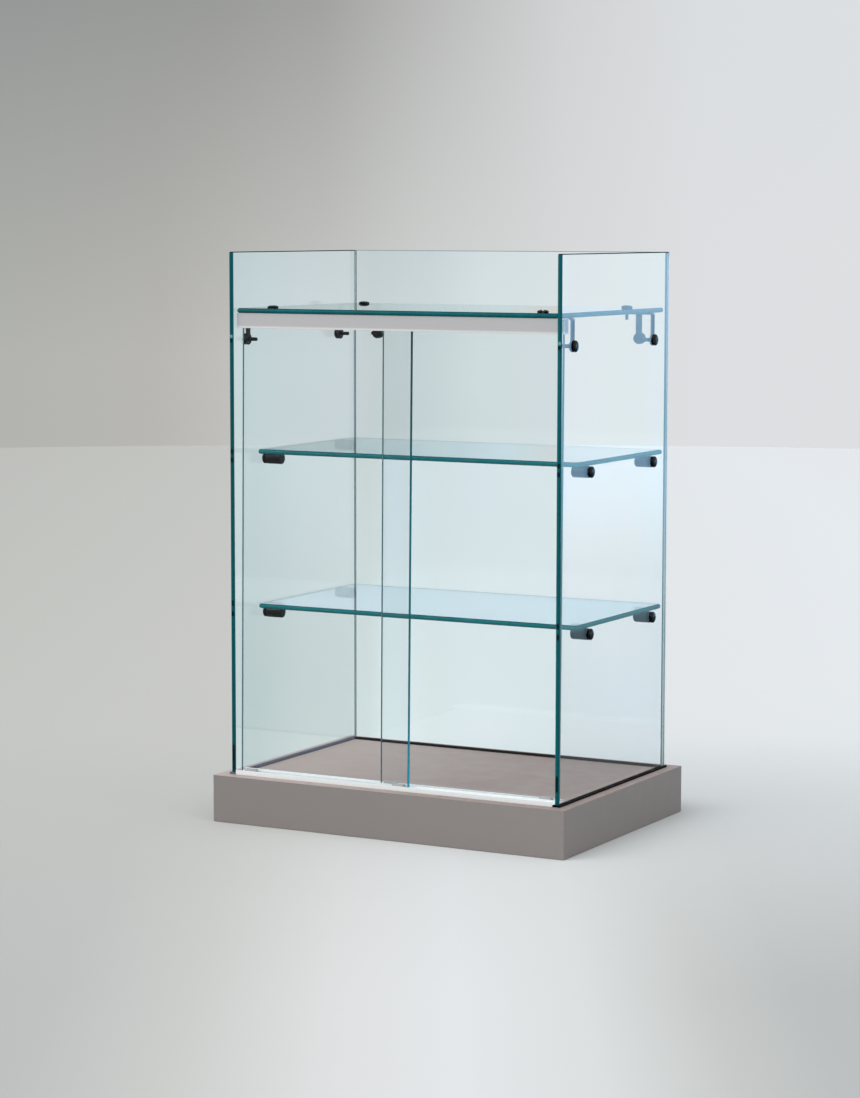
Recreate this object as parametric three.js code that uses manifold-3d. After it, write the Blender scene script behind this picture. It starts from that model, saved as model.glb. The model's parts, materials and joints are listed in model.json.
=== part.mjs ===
// Glass display showcase: a taupe board plinth that carries three standing panes, a bolted top glass,
// two loose shelves on pegs, and two glass doors that slide in a pair of aluminium tracks.
// Millimetres, +Z up. The origin is the plan centre of the plinth, on the plane it rests on.
// +X is to the right when facing the doors, and +Y runs from the doors to the back pane.

import * as THREE from "three";
import { ConvexGeometry } from "three/addons/geometries/ConvexGeometry.js";
import { mergeVertices } from "three/addons/utils/BufferGeometryUtils.js";
import Module from "manifold-3d";

const wasm = await Module();
wasm.setup();

// ---- Driving dimensions ----

// Plinth: a box of mitred boards, open below.
const PLINTH_WIDTH = 500;
const PLINTH_DEPTH = 350;
const PLINTH_HEIGHT = 60;
const BOARD = 18;
const FRONT = -PLINTH_DEPTH / 2; // Y of the plinth's front face, from which the fittings are set out
const BACK = PLINTH_DEPTH / 2;

// Standing panes.
const GLASS = 6;
const PANE_TOP = 728;
const PANE_OUTER = PLINTH_WIDTH / 2 - 16; // a side pane's outer face
const PANE_FRONT = FRONT + 19;
const PANE_BACK = BACK - 18;
const SEAT_DEPTH = 8; // how far the panes stand below the plinth's top face
const PANE_END_GAP = 0.5; // between the back pane and each side pane

// Gasket strips that line the plinth's groove.
const GASKET = 2;
const GASKET_PROUD = 2.5;

// Top glass and shelves.
const TOP_GLASS_TOP = 657;
const TOP_GLASS_FRONT = FRONT + 23;
const SHELVES = { middle: 475, lower: 275 }; // height of each shelf's upper face
const SHELF_FRONT = FRONT + 74;
const PLATE_GAP = 1; // from a lying plate to the standing panes
const CORNER_RADIUS = 3;

// Tracks: three walls on a web. The header sits further back, so the doors lean.
const TRACK_WALL = 1.5;
const TRACK_REACH = 226;
const BOTTOM_TRACK = { front: FRONT + 16, channel: 10.25, height: 6 };
const HEADER_TRACK = { front: FRONT + 25, channel: 8.5, height: 19 };

// Sliding doors: left edge, and the middle of the glass at the foot and at the head.
const DOOR = 5;
const DOOR_WIDTH = 244;
const DOOR_FOOT = 64;
const DOOR_HEAD = 642;
const DOORS = {
  left_door: { x: -220, footY: FRONT + 22.5, headY: FRONT + 31 },
  right_door: { x: -21, footY: FRONT + 34.5, headY: FRONT + 40.5 },
};
const GLIDE = { length: 16, halfWidth: 4.5, height: 6.5, inset: 6, gap: 0.3 };

// Brackets, cut and bent from one strip.
const STRIP_WIDTH = 8;
const STRIP = 2;
const BEND_RADIUS = 3;
const EYE_RADIUS = 7.25;
const BOLT_X = 191;
const FRONT_BRACKET_Y = FRONT + 55;
const BACK_BRACKET_Y = FRONT + 288;
const BRACKET_SCREW_Z = 617;

// Shelf pegs.
const PEG_RADIUS = 7.25;
const PEG_LENGTH = 22;
const PEG_CHAMFER = 1;
const PEG_FRONT_Y = FRONT + 103;
const PEG_BACK_Y = FRONT + 288;
const PEG_BORE_DEPTH = 14;

// Fasteners: a black slotted cap on a sleeve that passes the glass, then a thread.
const GLASS_HOLE_RADIUS = 3.5;
const SLEEVE_RADIUS = 3;
const CAP = { radius: 7.25, neckRadius: 6, neck: 0.75, rim: 2, height: 3.5 };
const SLOT = { width: 1.6, depth: 1.4 };
const TOP_BOLT = { thread: 2, reach: 9 }; // reach: how far the thread runs past the glass
const PEG_SCREW = { thread: 2, reach: 11 };
const BRACKET_SCREW = { thread: 2.35, reach: 14 };
const THREAD_GAP = 0.3;
const TRACK_SCREW = { radius: 1.5, headRadius: 3, length: 13, gap: 0.3 };
const TRACK_SCREW_X = { left: -206, middle: 0, right: 206 };

const ROUND = 16; // facets round a cap, peg or eye
const SMALL_ROUND = 12; // facets round a hole or thread

// ---- Dimensions that follow ----

const PANE_INNER = PANE_OUTER - GLASS;
const BACK_INNER = PANE_BACK - GLASS;
const PANE_BOTTOM = PLINTH_HEIGHT - SEAT_DEPTH;
const GROOVE_FLOOR = PANE_BOTTOM - GASKET;
const GROOVE_OUTER = PANE_OUTER + GASKET;
const GROOVE_INNER = PANE_INNER - GASKET;
const GROOVE_FRONT = PANE_FRONT - GASKET;
const GROOVE_BACK = PANE_BACK + GASKET;
const BACK_GROOVE_FRONT = BACK_INNER - GASKET;
const GASKET_TOP = PLINTH_HEIGHT + GASKET_PROUD;
const TOP_GLASS_BOTTOM = TOP_GLASS_TOP - GLASS;
const CHANNEL_FLOOR = PLINTH_HEIGHT + TRACK_WALL;
const TRACK_SCREW_Y = BOTTOM_TRACK.front + 2 * TRACK_WALL + 1.5 * BOTTOM_TRACK.channel;
const pegZ = (shelfTop) => shelfTop - GLASS - PEG_RADIUS;

// ---- Materials ----

const finish = (color, roughness, metalness, more = {}) => ({ color, roughness, metalness, ...more });
const FINISHES = {
  taupe: finish(0x8b8784, 0.6, 0),
  glass: finish(0xd4e4e4, 0.05, 0, { transparent: true, opacity: 0.35 }),
  anodised: finish(0xbcbab8, 0.45, 0.7),
  gasket: finish(0x111214, 0.7, 0),
  blackSteel: finish(0x16181a, 0.4, 0.4),
  blackPlastic: finish(0x0c0c0d, 0.3, 0),
  glidePlastic: finish(0x8f9294, 0.5, 0),
  zinc: finish(0xb4b6b8, 0.35, 0.9),
};

// ---- Shape helpers ----

const showcase = new THREE.Group();

function addPart(name, geometry, finishName) {
  const mesh = new THREE.Mesh(geometry, new THREE.MeshStandardMaterial(FINISHES[finishName]));
  mesh.name = name;
  showcase.add(mesh);
  return mesh;
}

// A block between two opposite corners, given in any order.
function block(cornerA, cornerB) {
  const box = new THREE.Box3().setFromPoints([cornerA, cornerB].map((c) => new THREE.Vector3(...c)));
  const size = box.getSize(new THREE.Vector3());
  const centre = box.getCenter(new THREE.Vector3());
  return new THREE.BoxGeometry(size.x, size.y, size.z).translate(centre.x, centre.y, centre.z);
}

// A round bar between start and end along one axis ("x", "y" or "z") through a point.
function bar(axis, point, start, end, radius, facets = SMALL_ROUND) {
  const geometry = new THREE.CylinderGeometry(radius, radius, end - start, facets);
  if (axis === "x") geometry.rotateZ(-Math.PI / 2);
  if (axis === "z") geometry.rotateX(Math.PI / 2);
  const centre = new THREE.Vector3(...point);
  centre[axis] = (start + end) / 2;
  return geometry.translate(centre.x, centre.y, centre.z);
}

// An outline drawn in (Y, Z) and pushed along X.
function alongX(outline, start, end) {
  const options = { depth: end - start, bevelEnabled: false, curveSegments: 4 };
  const geometry = new THREE.ExtrudeGeometry(outline, options);
  const basis = new THREE.Matrix4().makeBasis(
    new THREE.Vector3(0, 1, 0),
    new THREE.Vector3(0, 0, 1),
    new THREE.Vector3(1, 0, 0),
  );
  return geometry.applyMatrix4(basis).translate(start, 0, 0);
}

// An outline drawn in (X, Z) and pushed along Y.
function alongY(outline, start, end) {
  const options = { depth: end - start, bevelEnabled: false, curveSegments: 4 };
  const geometry = new THREE.ExtrudeGeometry(outline, options);
  const basis = new THREE.Matrix4().makeBasis(
    new THREE.Vector3(1, 0, 0),
    new THREE.Vector3(0, 0, 1),
    new THREE.Vector3(0, -1, 0),
  );
  return geometry.applyMatrix4(basis).translate(0, end, 0);
}

function polygon(points) {
  return new THREE.Shape(points.map(([a, b]) => new THREE.Vector2(a, b)));
}

function toSolid(geometry) {
  const bare = geometry.index ? geometry.toNonIndexed() : geometry.clone();
  bare.deleteAttribute("normal");
  bare.deleteAttribute("uv");
  const merged = mergeVertices(bare, 1e-4);
  const mesh = new wasm.Mesh({
    numProp: 3,
    vertProperties: merged.attributes.position.array,
    triVerts: new Uint32Array(merged.index.array),
  });
  return new wasm.Manifold(mesh);
}

// Joins the first list of geometries and cuts the second list away from the result.
function joinAndCut(joined, cut = []) {
  let solid = toSolid(joined[0]);
  for (const geometry of joined.slice(1)) solid = solid.add(toSolid(geometry));
  for (const geometry of cut) solid = solid.subtract(toSolid(geometry));
  const mesh = solid.getMesh();
  const geometry = new THREE.BufferGeometry();
  geometry.setAttribute("position", new THREE.BufferAttribute(mesh.vertProperties, 3));
  geometry.setIndex(new THREE.BufferAttribute(mesh.triVerts, 1));
  geometry.computeVertexNormals();
  return geometry;
}

// ---- Plinth: boards and deck meet at 45 degree mitres, so no board's end grain shows ----

function mitred(outerFace, innerFace) {
  return new ConvexGeometry([...outerFace, ...innerFace].map((p) => new THREE.Vector3(...p)));
}

function buildPlinth() {
  const half = PLINTH_WIDTH / 2;
  const low = FRONT + BOARD;
  const far = BACK - BOARD;
  const inner = half - BOARD;
  const top = PLINTH_HEIGHT;
  const under = PLINTH_HEIGHT - BOARD;
  const upright = (face, height) => face.flatMap(([x, y]) => [[x, y, 0], [x, y, height]]);
  const board = (outer, innerEdge) => mitred(upright(outer, top), upright(innerEdge, under));

  const corners = { fl: [-half, FRONT], fr: [half, FRONT], br: [half, BACK], bl: [-half, BACK] };
  const inside = { fl: [-inner, low], fr: [inner, low], br: [inner, far], bl: [-inner, far] };
  const sides = { front: ["fl", "fr"], right: ["fr", "br"], back: ["br", "bl"], left: ["bl", "fl"] };
  for (const [side, ends] of Object.entries(sides)) {
    const outer = ends.map((end) => corners[end]);
    const innerEdge = ends.map((end) => inside[end]);
    addPart(`plinth_${side}_board`, board(outer, innerEdge), "taupe");
  }

  const deck = mitred(
    Object.values(corners).map(([x, y]) => [x, y, top]),
    Object.values(inside).map(([x, y]) => [x, y, under]),
  );
  const sideGroove = (side) =>
    block([side * GROOVE_OUTER, GROOVE_FRONT, GROOVE_FLOOR], [side * GROOVE_INNER, GROOVE_BACK, top + 1]);
  const backGroove = block(
    [-PANE_INNER, BACK_GROOVE_FRONT, GROOVE_FLOOR],
    [PANE_INNER, GROOVE_BACK, top + 1],
  );
  const pilotFloor = CHANNEL_FLOOR - TRACK_SCREW.length - 1;
  const pilots = Object.values(TRACK_SCREW_X).map((x) =>
    bar("z", [x, TRACK_SCREW_Y, 0], pilotFloor, top + 1, TRACK_SCREW.radius + TRACK_SCREW.gap),
  );
  addPart("plinth_deck", joinAndCut([deck], [sideGroove(-1), sideGroove(1), backGroove, ...pilots]), "taupe");
}

// ---- Gaskets: U strips that line the groove and stand just proud of the deck ----

function buildGaskets() {
  for (const [name, side] of [["left_gasket", -1], ["right_gasket", 1]]) {
    const outerPart = block(
      [side * GROOVE_OUTER, GROOVE_FRONT, GROOVE_FLOOR],
      [side * PANE_INNER, GROOVE_BACK, GASKET_TOP],
    );
    const innerLip = block(
      [side * PANE_OUTER, GROOVE_FRONT, GROOVE_FLOOR],
      [side * GROOVE_INNER, BACK_GROOVE_FRONT, GASKET_TOP],
    );
    const paneSlot = block(
      [side * PANE_OUTER, PANE_FRONT, PANE_BOTTOM],
      [side * PANE_INNER, PANE_BACK, PANE_TOP],
    );
    addPart(name, joinAndCut([outerPart, innerLip], [paneSlot]), "gasket");
  }
  const strip = block([-PANE_INNER, BACK_GROOVE_FRONT, GROOVE_FLOOR], [PANE_INNER, GROOVE_BACK, GASKET_TOP]);
  const paneSlot = block([-PANE_OUTER, BACK_INNER, PANE_BOTTOM], [PANE_OUTER, PANE_BACK, PANE_TOP]);
  addPart("back_gasket", joinAndCut([strip], [paneSlot]), "gasket");
}

// ---- Standing panes, drilled for the screws ----

function buildPanes() {
  const holes = [
    [FRONT_BRACKET_Y, BRACKET_SCREW_Z],
    [BACK_BRACKET_Y, BRACKET_SCREW_Z],
    ...Object.values(SHELVES).flatMap((top) => [PEG_FRONT_Y, PEG_BACK_Y].map((y) => [y, pegZ(top)])),
  ];
  for (const [name, side] of [["left_side_glass", -1], ["right_side_glass", 1]]) {
    const pane = block(
      [side * PANE_OUTER, PANE_FRONT, PANE_BOTTOM],
      [side * PANE_INNER, PANE_BACK, PANE_TOP],
    );
    const middle = (side * (PANE_OUTER + PANE_INNER)) / 2;
    const drills = holes.map(([y, z]) =>
      bar("x", [0, y, z], middle - GLASS, middle + GLASS, GLASS_HOLE_RADIUS),
    );
    addPart(name, joinAndCut([pane], drills), "glass");
  }
  const reach = PANE_INNER - PANE_END_GAP;
  const backPane = block([-reach, BACK_INNER, PANE_BOTTOM], [reach, PANE_BACK, PANE_TOP]);
  const drills = [-BOLT_X, BOLT_X].map((x) =>
    bar("y", [x, 0, BRACKET_SCREW_Z], BACK_INNER - 1, PANE_BACK + 1, GLASS_HOLE_RADIUS),
  );
  addPart("back_glass", joinAndCut([backPane], drills), "glass");
}

// ---- Lying glass: the top and two shelves, with rounded corners and pencil-ground edges ----

function pencilEdgedPlate(front, top) {
  const ground = GLASS / 2;
  const right = PANE_INNER - PLATE_GAP - ground;
  const left = -right;
  const near = front + ground;
  const far = BACK_INNER - PLATE_GAP - ground;
  const r = CORNER_RADIUS;
  const outline = new THREE.Shape();
  outline.moveTo(left + r, near);
  outline.lineTo(right - r, near);
  outline.absarc(right - r, near + r, r, -Math.PI / 2, 0);
  outline.lineTo(right, far - r);
  outline.absarc(right - r, far - r, r, 0, Math.PI / 2);
  outline.lineTo(left + r, far);
  outline.absarc(left + r, far - r, r, Math.PI / 2, Math.PI);
  outline.lineTo(left, near + r);
  outline.absarc(left + r, near + r, r, Math.PI, 1.5 * Math.PI);
  const options = { depth: 0, bevelThickness: ground, bevelSize: ground, bevelSegments: 3, curveSegments: 3 };
  return new THREE.ExtrudeGeometry(outline, options).translate(0, 0, top - ground);
}

function buildLyingGlass() {
  const drills = boltPlaces().map(([x, y]) =>
    bar("z", [x, y, 0], TOP_GLASS_BOTTOM - 1, TOP_GLASS_TOP + 1, GLASS_HOLE_RADIUS),
  );
  addPart("top_glass", joinAndCut([pencilEdgedPlate(TOP_GLASS_FRONT, TOP_GLASS_TOP)], drills), "glass");
  for (const [level, top] of Object.entries(SHELVES)) {
    addPart(`${level}_shelf`, joinAndCut([pencilEdgedPlate(SHELF_FRONT, top)]), "glass");
  }
}

function boltPlaces() {
  return [FRONT_BRACKET_Y, BACK_BRACKET_Y].flatMap((y) => [[-BOLT_X, y], [BOLT_X, y]]);
}

// ---- Tracks: a web with three walls; the bottom one opens up and the header opens down ----

function trackOutline({ front, channel, height }, web, upward) {
  const tips = web + upward * height;
  const floor = web + upward * TRACK_WALL;
  const points = [[front, web]];
  let start = front;
  for (let wall = 0; wall < 3; wall++) {
    const end = start + TRACK_WALL;
    if (wall > 0) points.push([start, floor]);
    points.push([start, tips], [end, tips]);
    if (wall < 2) points.push([end, floor]);
    start = end + channel;
  }
  points.push([start - channel, web]);
  return polygon(points);
}

function buildTracks() {
  const { radius, headRadius, length, gap } = TRACK_SCREW;
  const bottom = alongX(trackOutline(BOTTOM_TRACK, PLINTH_HEIGHT, 1), -TRACK_REACH, TRACK_REACH);
  const cone = new THREE.CylinderGeometry(headRadius + gap, radius + gap, TRACK_WALL, SMALL_ROUND);
  cone.rotateX(Math.PI / 2).translate(0, TRACK_SCREW_Y, PLINTH_HEIGHT + TRACK_WALL / 2);
  const seats = Object.values(TRACK_SCREW_X).map((x) => cone.clone().translate(x, 0, 0));
  addPart("bottom_track", joinAndCut([bottom], seats), "anodised");

  const header = alongX(trackOutline(HEADER_TRACK, TOP_GLASS_BOTTOM, -1), -TRACK_REACH, TRACK_REACH);
  addPart("header_track", header, "anodised");

  const profile = [
    [0, -length],
    [radius, 1.5 * radius - length],
    [radius, -TRACK_WALL],
    [headRadius, 0],
    [0, 0],
  ];
  const screw = turned(profile, SMALL_ROUND);
  for (const [place, x] of Object.entries(TRACK_SCREW_X)) {
    addTurned(`track_screw_${place}`, screw, "up", [x, TRACK_SCREW_Y, CHANNEL_FLOOR], "zinc");
  }
}

// ---- Sliding doors, leaning back to the header, with a plastic glide clipped under each end ----

function buildDoor(name, { x, footY, headY }) {
  const rise = DOOR_HEAD - DOOR_FOOT;
  const lean = Math.atan2(headY - footY, rise);
  const length = Math.hypot(headY - footY, rise);
  const pane = new THREE.BoxGeometry(DOOR_WIDTH, DOOR, length).translate(0, 0, length / 2);
  pane.rotateX(-lean).translate(x + DOOR_WIDTH / 2, footY, DOOR_FOOT);
  addPart(name, pane, "glass");

  // A point across and up from the middle of the door's foot, in the leaning door's own directions.
  const onDoor = (across, up) => [
    footY + across * Math.cos(lean) + up * Math.sin(lean),
    DOOR_FOOT - across * Math.sin(lean) + up * Math.cos(lean),
  ];
  const slot = DOOR / 2 + GLIDE.gap;
  const tip = CHANNEL_FLOOR + GLIDE.height;
  const outline = polygon([
    [footY - GLIDE.halfWidth, CHANNEL_FLOOR],
    [footY + GLIDE.halfWidth, CHANNEL_FLOOR],
    [footY + GLIDE.halfWidth, tip],
    onDoor(slot, tip - DOOR_FOOT),
    onDoor(slot, -GLIDE.gap),
    onDoor(-slot, -GLIDE.gap),
    onDoor(-slot, tip - DOOR_FOOT),
    [footY - GLIDE.halfWidth, tip],
  ]);
  const starts = { left: x + GLIDE.inset, right: x + DOOR_WIDTH - GLIDE.inset - GLIDE.length };
  for (const [end, start] of Object.entries(starts)) {
    addPart(`${name}_glide_${end}`, alongX(outline, start, start + GLIDE.length), "glidePlastic");
  }
}

// ---- Brackets: an eye under the top glass, and a bent leg to each pane it clamps ----

// The side view of one arm: flat under the top glass from `start`, bent down against a pane at `face`.
function armOutline(start, face) {
  const side = Math.sign(face - start);
  const bend = face - side * BEND_RADIUS;
  const top = TOP_GLASS_BOTTOM;
  const foot = BRACKET_SCREW_Z;
  const innerRadius = BEND_RADIUS - STRIP;
  const outline = new THREE.Shape();
  outline.moveTo(start, top - STRIP);
  outline.lineTo(start, top);
  outline.lineTo(bend, top);
  const over = side > 0 ? 0 : Math.PI;
  outline.absarc(bend, top - BEND_RADIUS, BEND_RADIUS, Math.PI / 2, over, side > 0);
  outline.lineTo(face, foot);
  outline.lineTo(face - side * STRIP, foot);
  outline.lineTo(face - side * STRIP, top - BEND_RADIUS);
  outline.absarc(bend, top - BEND_RADIUS, innerRadius, over, Math.PI / 2, side < 0);
  return outline;
}

function buildBracket(name, side, y, hasBackLeg) {
  const x = side * BOLT_X;
  const face = side * PANE_INNER;
  const halfStrip = STRIP_WIDTH / 2;
  const legInner = face - side * STRIP;
  const [legLow, legHigh] = [face, legInner].sort((a, b) => a - b);
  const top = TOP_GLASS_BOTTOM;
  const boltHole = TOP_BOLT.thread + THREAD_GAP;
  const screwHole = BRACKET_SCREW.thread + THREAD_GAP;
  const joined = [
    bar("z", [x, y, 0], top - STRIP, top, EYE_RADIUS, ROUND),
    alongY(armOutline(x, face), y - halfStrip, y + halfStrip),
    bar("x", [0, y, BRACKET_SCREW_Z], legLow, legHigh, EYE_RADIUS, ROUND),
  ];
  const cut = [
    bar("z", [x, y, 0], top - STRIP - 1, top + 1, boltHole),
    bar("x", [0, y, BRACKET_SCREW_Z], legLow - 1, legHigh + 1, screwHole),
  ];
  if (hasBackLeg) {
    const legFront = BACK_INNER - STRIP;
    joined.push(
      alongX(armOutline(y, BACK_INNER), x - halfStrip, x + halfStrip),
      bar("y", [x, 0, BRACKET_SCREW_Z], legFront, BACK_INNER, EYE_RADIUS, ROUND),
    );
    cut.push(bar("y", [x, 0, BRACKET_SCREW_Z], legFront - 1, BACK_INNER + 1, screwHole));
  }
  addPart(name, joinAndCut(joined, cut), "blackSteel");
}

// ---- Turned pieces: screws and pegs, drawn as (radius, height) about their own axis ----

function turned(profile, facets) {
  return new THREE.LatheGeometry(profile.map(([r, h]) => new THREE.Vector2(r, h)), facets);
}

// A capped screw: the cap sits on the glass at height 0, and the thread runs down past it.
function cappedScrew({ thread, reach }) {
  const { radius, neckRadius, neck, rim, height } = CAP;
  const shoulder = radius * Math.cos(Math.PI / 5);
  const profile = [
    [0, -GLASS - reach],
    [thread, -GLASS - reach],
    [thread, -GLASS],
    [SLEEVE_RADIUS, -GLASS],
    [SLEEVE_RADIUS, 0],
    [neckRadius, 0],
    [neckRadius, neck],
    [radius, neck],
    [radius, rim],
    [shoulder, rim + (height - rim) * Math.sin(Math.PI / 4)],
    [0, height],
  ];
  const slot = block(
    [-radius - 1, height - SLOT.depth, -SLOT.width / 2],
    [radius + 1, height + 1, SLOT.width / 2],
  );
  return joinAndCut([turned(profile, ROUND)], [slot]);
}

// Each direction turns the screw's own +Y, the way its cap faces, onto a row axis.
const FACING = {
  left: new THREE.Euler(0, 0, Math.PI / 2),
  right: new THREE.Euler(0, 0, -Math.PI / 2),
  back: new THREE.Euler(0, 0, 0),
  up: new THREE.Euler(Math.PI / 2, 0, 0),
};

function addTurned(name, geometry, facing, position, finishName) {
  const mesh = addPart(name, geometry, finishName);
  mesh.rotation.copy(FACING[facing]);
  mesh.position.set(...position);
}

function buildFasteners() {
  const topBolt = cappedScrew(TOP_BOLT);
  const bracketScrew = cappedScrew(BRACKET_SCREW);
  const pegScrew = cappedScrew(PEG_SCREW);
  const bore = PEG_SCREW.thread + THREAD_GAP;
  const peg = turned(
    [
      [0, PEG_BORE_DEPTH],
      [bore, PEG_BORE_DEPTH],
      [bore, 0],
      [PEG_RADIUS - PEG_CHAMFER / 2, 0],
      [PEG_RADIUS, PEG_CHAMFER / 2],
      [PEG_RADIUS, PEG_LENGTH - PEG_CHAMFER],
      [PEG_RADIUS - PEG_CHAMFER, PEG_LENGTH],
      [0, PEG_LENGTH],
    ],
    ROUND,
  );
  const sides = { left: -1, right: 1 };
  const inward = { left: "right", right: "left" };
  for (const [side, sign] of Object.entries(sides)) {
    for (const [row, y] of [["front", FRONT_BRACKET_Y], ["back", BACK_BRACKET_Y]]) {
      const place = `${row}_${side}`;
      addTurned(`top_bolt_${place}`, topBolt, "up", [sign * BOLT_X, y, TOP_GLASS_TOP], "blackPlastic");
      const seat = [sign * PANE_OUTER, y, BRACKET_SCREW_Z];
      addTurned(`bracket_screw_${place}`, bracketScrew, side, seat, "blackPlastic");
    }
    const backSeat = [sign * BOLT_X, PANE_BACK, BRACKET_SCREW_Z];
    addTurned(`back_pane_screw_${side}`, bracketScrew, "back", backSeat, "blackPlastic");
    for (const [level, top] of Object.entries(SHELVES)) {
      for (const [row, y] of [["front", PEG_FRONT_Y], ["back", PEG_BACK_Y]]) {
        const place = `${level}_${row}_${side}`;
        const z = pegZ(top);
        addTurned(`peg_${place}`, peg, inward[side], [sign * PANE_INNER, y, z], "blackSteel");
        addTurned(`peg_screw_${place}`, pegScrew, side, [sign * PANE_OUTER, y, z], "blackPlastic");
      }
    }
  }
}

buildPlinth();
buildGaskets();
buildPanes();
buildLyingGlass();
buildTracks();
for (const [name, door] of Object.entries(DOORS)) buildDoor(name, door);
buildBracket("bracket_front_left", -1, FRONT_BRACKET_Y, false);
buildBracket("bracket_front_right", 1, FRONT_BRACKET_Y, false);
buildBracket("bracket_back_left", -1, BACK_BRACKET_Y, true);
buildBracket("bracket_back_right", 1, BACK_BRACKET_Y, true);
buildFasteners();

export default showcase;
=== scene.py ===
"""Looks of the glass display showcase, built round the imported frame."""

import json
import math

import bmesh
import bpy
from mathutils import Matrix, Vector

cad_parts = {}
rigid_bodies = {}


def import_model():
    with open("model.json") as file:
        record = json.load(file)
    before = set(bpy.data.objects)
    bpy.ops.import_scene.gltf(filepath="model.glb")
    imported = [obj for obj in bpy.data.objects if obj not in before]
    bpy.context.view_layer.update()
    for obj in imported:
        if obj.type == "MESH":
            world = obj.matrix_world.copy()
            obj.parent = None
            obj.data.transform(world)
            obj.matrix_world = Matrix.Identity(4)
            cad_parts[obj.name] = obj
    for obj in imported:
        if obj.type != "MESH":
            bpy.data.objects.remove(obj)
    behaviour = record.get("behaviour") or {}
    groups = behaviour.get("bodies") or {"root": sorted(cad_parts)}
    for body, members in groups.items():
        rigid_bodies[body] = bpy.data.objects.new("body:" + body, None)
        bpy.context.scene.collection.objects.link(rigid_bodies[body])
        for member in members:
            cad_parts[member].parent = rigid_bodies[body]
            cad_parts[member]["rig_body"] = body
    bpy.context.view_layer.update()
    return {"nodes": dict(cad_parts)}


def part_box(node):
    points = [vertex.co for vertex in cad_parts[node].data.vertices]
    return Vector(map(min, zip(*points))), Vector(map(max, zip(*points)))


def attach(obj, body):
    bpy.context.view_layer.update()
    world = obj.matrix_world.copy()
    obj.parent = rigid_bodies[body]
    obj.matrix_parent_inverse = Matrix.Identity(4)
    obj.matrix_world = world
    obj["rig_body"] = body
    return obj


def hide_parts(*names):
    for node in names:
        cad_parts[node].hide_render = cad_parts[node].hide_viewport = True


for leftover in list(bpy.data.objects):
    bpy.data.objects.remove(leftover)

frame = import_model()
NODES = frame["nodes"]
MM = 0.001

# The camera's place, its heading in degrees and its lens; they also set out the floor and the light.
CAMERA_AT = Vector((1.8157, -3.3973, 0.7643))
YAW, PITCH, ROLL = (math.radians(a) for a in (28.503, 6.167, 0.071))
LENS = 98.92
VIEW_RIGHT = Vector((math.cos(YAW), math.sin(YAW), 0))


# ---- Shader helpers ----

class Shader:
    """A material's node tree with short ways to add and join nodes."""

    def __init__(self, name, world=False):
        self.data = bpy.data.worlds.new(name) if world else bpy.data.materials.new(name)
        self.data.use_nodes = True
        self.tree = self.data.node_tree
        self.tree.nodes.clear()
        self.out = self.node("OutputWorld" if world else "OutputMaterial")

    def node(self, kind, values=None, **settings):
        n = self.tree.nodes.new("ShaderNode" + kind)
        for key, value in settings.items():
            setattr(n, key, value)
        for key, value in (values or {}).items():
            self.put(n.inputs[key], value)
        return n

    def put(self, socket, value):
        if isinstance(value, bpy.types.NodeSocket):
            self.tree.links.new(value, socket)
        elif isinstance(value, bpy.types.Node):
            self.tree.links.new(value.outputs[0], socket)
        else:
            socket.default_value = value

    def surface(self, value):
        self.put(self.out.inputs["Surface"], value)
        return self.data

    def math(self, operation, a, b=0.0, clamp=False):
        return self.node("Math", {0: a, 1: b}, operation=operation, use_clamp=clamp).outputs[0]

    def dot(self, a, b):
        return self.node("VectorMath", {0: a, 1: b}, operation="DOT_PRODUCT").outputs["Value"]

    def map_range(self, value, low, high, start=0.0, end=1.0):
        """A value between two limits, rescaled to run from start to end and held beyond them."""
        limits = {"Value": value, "From Min": low, "From Max": high, "To Min": start, "To Max": end}
        return self.node("MapRange", limits).outputs[0]

    def mix_shader(self, share, a, b):
        return self.node("MixShader", {0: share, 1: a, 2: b})

    def mix_colour(self, share, a, b, blend="MIX"):
        n = self.node("Mix", {0: share, 6: a, 7: b}, data_type="RGBA", blend_type=blend)
        return n.outputs[2]

    def multiply(self, a, b):
        return self.mix_colour(1.0, a, b, "MULTIPLY")

    def place(self):
        return self.node("TexCoord").outputs["Object"]

    def place_axis(self, axis):
        return self.node("SeparateXYZ", {0: self.place()}).outputs[axis]

    def facing_up(self):
        """1 where the surface faces up, 0 where it is upright, -1 where it faces down."""
        return self.node("SeparateXYZ", {0: self.node("NewGeometry").outputs["Normal"]}).outputs[2]

    def noise(self, scale, detail=3.0, roughness=0.5, stretch=(1, 1, 1)):
        spot = self.node("Mapping", {"Vector": self.place(), "Scale": stretch})
        values = {"Vector": spot, "Scale": scale, "Detail": detail, "Roughness": roughness}
        return self.node("TexNoise", values).outputs[0]

    def ramp(self, value, stops):
        n = self.node("ValToRGB", {0: value})
        while len(n.color_ramp.elements) < len(stops):
            n.color_ramp.elements.new(0.5)
        for element, (at, colour) in zip(n.color_ramp.elements, stops):
            element.position = at
            element.color = (*colour, 1) if len(colour) == 3 else colour
        return n.outputs[0]

    def grey_ramp(self, value, low, high, start=0.0, end=1.0):
        return self.ramp(value, [(low, (start,) * 3), (high, (end,) * 3)])

    def scaled_ramp(self, value, stops):
        """A ramp whose stops are given in the value's own units."""
        low, high = stops[0][0], stops[-1][0]
        share = self.map_range(value, low, high)
        return self.ramp(share, [((at - low) / (high - low), colour) for at, colour in stops])

    def bump(self, height, strength, distance):
        values = {"Height": height, "Strength": strength, "Distance": distance}
        return self.node("Bump", values).outputs[0]

    def solid(self, colour, roughness, specular, normal=None, metallic=0.0):
        """Finishes the material as an opaque body."""
        values = {
            "Base Color": colour,
            "Roughness": roughness,
            "Specular IOR Level": specular,
            "Metallic": metallic,
        }
        if normal is not None:
            values["Normal"] = normal
        return self.surface(self.node("BsdfPrincipled", values))


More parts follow.
